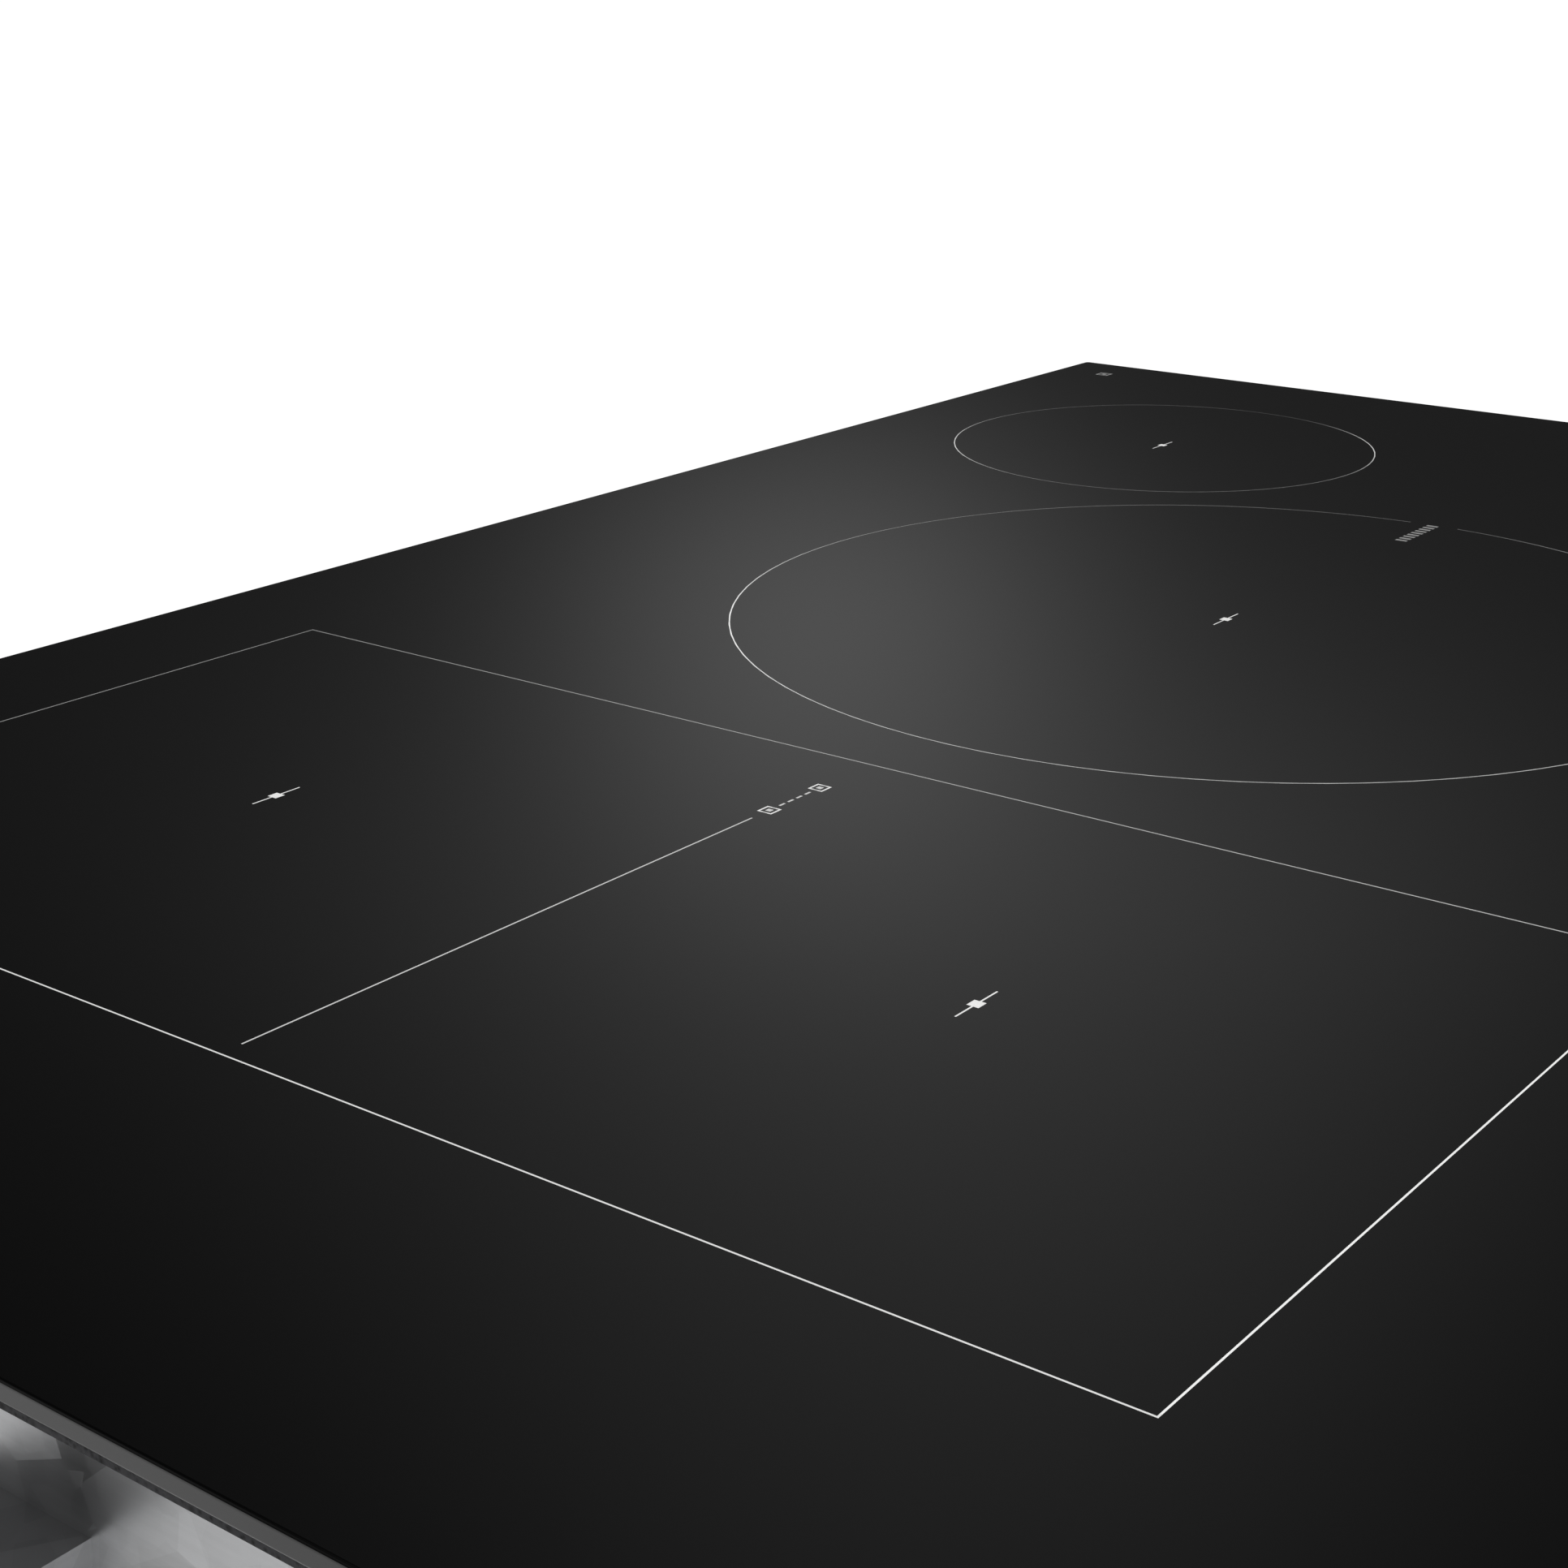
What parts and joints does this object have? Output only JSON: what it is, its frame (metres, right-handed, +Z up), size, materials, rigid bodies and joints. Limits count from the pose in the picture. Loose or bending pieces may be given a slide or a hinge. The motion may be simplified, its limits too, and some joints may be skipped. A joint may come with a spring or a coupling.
{
  "type": "built-in induction cooktop",
  "caption": "Drop-in induction cooktop: flush black glass-ceramic sheet with thin printed zone outlines over a shallow steel body with sprung coils, blowers and hold-down clamps.",
  "frame": {"origin": "on the underside of the steel body, below the middle of the glass", "axes": "+X to the user's right along the long side of the glass, +Y to the back, +Z up; the user stands on the -Y side"},
  "size_m": [0.781, 0.54, 0.092],
  "materials": {
    "black_glass": "polished",
    "fired_ink": "satin",
    "galvanised_steel": "spangled zinc",
    "zinc_screw": "bright zinc",
    "black_silicone": "matte",
    "black_foam": "closed-cell foam",
    "label_foil": "satin",
    "zinc_casting": "die-cast",
    "beige_plastic": "matte",
    "insulation_sheet": "fibrous",
    "copper_litz": "enamelled",
    "grey_moulding": "matte",
    "ferrite": "sintered",
    "aluminium_sheet": "mill",
    "white_ceramic": "matte",
    "spring_steel": "drawn",
    "lead_sleeve": "braided",
    "black_plastic": "matte",
    "motor_can": "satin",
    "board_green": "solder mask",
    "extruded_aluminium": "extruded",
    "film_case": "gloss",
    "display_block": "gloss",
    "wire_sleeve": "satin"
  },
  "bodies": {
    "cooktop_body": {"glass_ceramic_top": "black_glass", "flex_zone_print": "fired_ink", "large_zone_print": "fired_ink", "small_zone_print": "fired_ink", "control_panel_print": "fired_ink", "top_frame": "galvanised_steel", "silicone_bond": "black_silicone", "perimeter_gasket": "black_foam", "case_screws": "zinc_screw", "body_walls": "galvanised_steel", "bottom_cover": "galvanised_steel", "rating_plate": "label_foil", "clamp_brackets": "galvanised_steel", "conduit_gland": "zinc_casting", "gland_locknut": "zinc_screw", "terminal_block": "beige_plastic", "coil_tray": "aluminium_sheet", "tray_pins": "zinc_screw", "fan_housings": "black_plastic", "fan_motors": "motor_can", "board_bases": "beige_plastic", "circuit_boards": "board_green", "heat_sinks": "extruded_aluminium", "power_transistors": "black_plastic", "capacitors": "film_case", "chokes": "copper_litz", "touch_board": "board_green", "touch_housing": "black_plastic", "touch_displays": "display_block", "wiring": "wire_sleeve", "flex_springs": "spring_steel", "flex_leads": "lead_sleeve", "large_springs": "spring_steel", "large_leads": "lead_sleeve", "small_springs": "spring_steel", "small_leads": "lead_sleeve"},
    "flex_carrier": {"flex_insulation": "insulation_sheet", "flex_windings": "copper_litz", "flex_formers": "grey_moulding", "flex_ferrites": "ferrite", "flex_carrier_plate": "aluminium_sheet", "flex_sensors": "white_ceramic"},
    "large_carrier": {"large_insulation": "insulation_sheet", "large_windings": "copper_litz", "large_formers": "grey_moulding", "large_ferrites": "ferrite", "large_carrier_plate": "aluminium_sheet", "large_sensors": "white_ceramic"},
    "small_carrier": {"small_insulation": "insulation_sheet", "small_windings": "copper_litz", "small_formers": "grey_moulding", "small_ferrites": "ferrite", "small_carrier_plate": "aluminium_sheet", "small_sensors": "white_ceramic"},
    "fan_wheel_left": {"fan_impeller_left": "grey_moulding"},
    "clamp_pad_body_left": {"clamp_pad_left": "black_plastic"},
    "clamp_screw_body_left": {"clamp_screw_left": "zinc_screw"},
    "fan_wheel_right": {"fan_impeller_right": "grey_moulding"},
    "clamp_pad_body_right": {"clamp_pad_right": "black_plastic"},
    "clamp_screw_body_right": {"clamp_screw_right": "zinc_screw"}
  },
  "joints": [
    {"name": "flex_float", "type": "slide", "parent": "cooktop_body", "child": "flex_carrier", "axis": [0, 0, 1], "range_m": [-0.003, 0], "stiffness_N_per_m": 9000, "springref_m": 0.008, "deforming": ["flex_springs", "flex_leads"]},
    {"name": "large_float", "type": "slide", "parent": "cooktop_body", "child": "large_carrier", "axis": [0, 0, 1], "range_m": [-0.003, 0], "stiffness_N_per_m": 6000, "springref_m": 0.009, "deforming": ["large_springs", "large_leads"]},
    {"name": "small_float", "type": "slide", "parent": "cooktop_body", "child": "small_carrier", "axis": [0, 0, 1], "range_m": [-0.003, 0], "stiffness_N_per_m": 4000, "springref_m": 0.006, "deforming": ["small_springs", "small_leads"]},
    {"name": "fan_spin_left", "type": "hinge", "parent": "cooktop_body", "child": "fan_wheel_left", "pos_m": [-0.195, 0.165, 0.02], "axis": [0, 0, 1], "continuous": true},
    {"name": "fan_spin_right", "type": "hinge", "parent": "cooktop_body", "child": "fan_wheel_right", "pos_m": [0.195, 0.165, 0.02], "axis": [0, 0, 1], "continuous": true},
    {"name": "clamp_lift_left", "type": "slide", "parent": "cooktop_body", "child": "clamp_pad_body_left", "axis": [0, 0, 1], "range_m": [0, 0.022]},
    {"name": "clamp_turn_left", "type": "hinge", "parent": "clamp_pad_body_left", "child": "clamp_screw_body_left", "pos_m": [-0.3778, 0.02, 0.02], "axis": [0, 0, 1], "range_deg": [0, 7921]},
    {"name": "clamp_lift_right", "type": "slide", "parent": "cooktop_body", "child": "clamp_pad_body_right", "axis": [0, 0, 1], "range_m": [0, 0.022]},
    {"name": "clamp_turn_right", "type": "hinge", "parent": "clamp_pad_body_right", "child": "clamp_screw_body_right", "pos_m": [0.3778, 0.02, 0.02], "axis": [0, 0, 1], "range_deg": [0, 7921]}
  ],
  "couplings": [
    {"joint": "clamp_turn_left", "follows": "clamp_lift_left", "rad_per_m": 6283.2},
    {"joint": "clamp_turn_right", "follows": "clamp_lift_right", "rad_per_m": 6283.2}
  ]
}
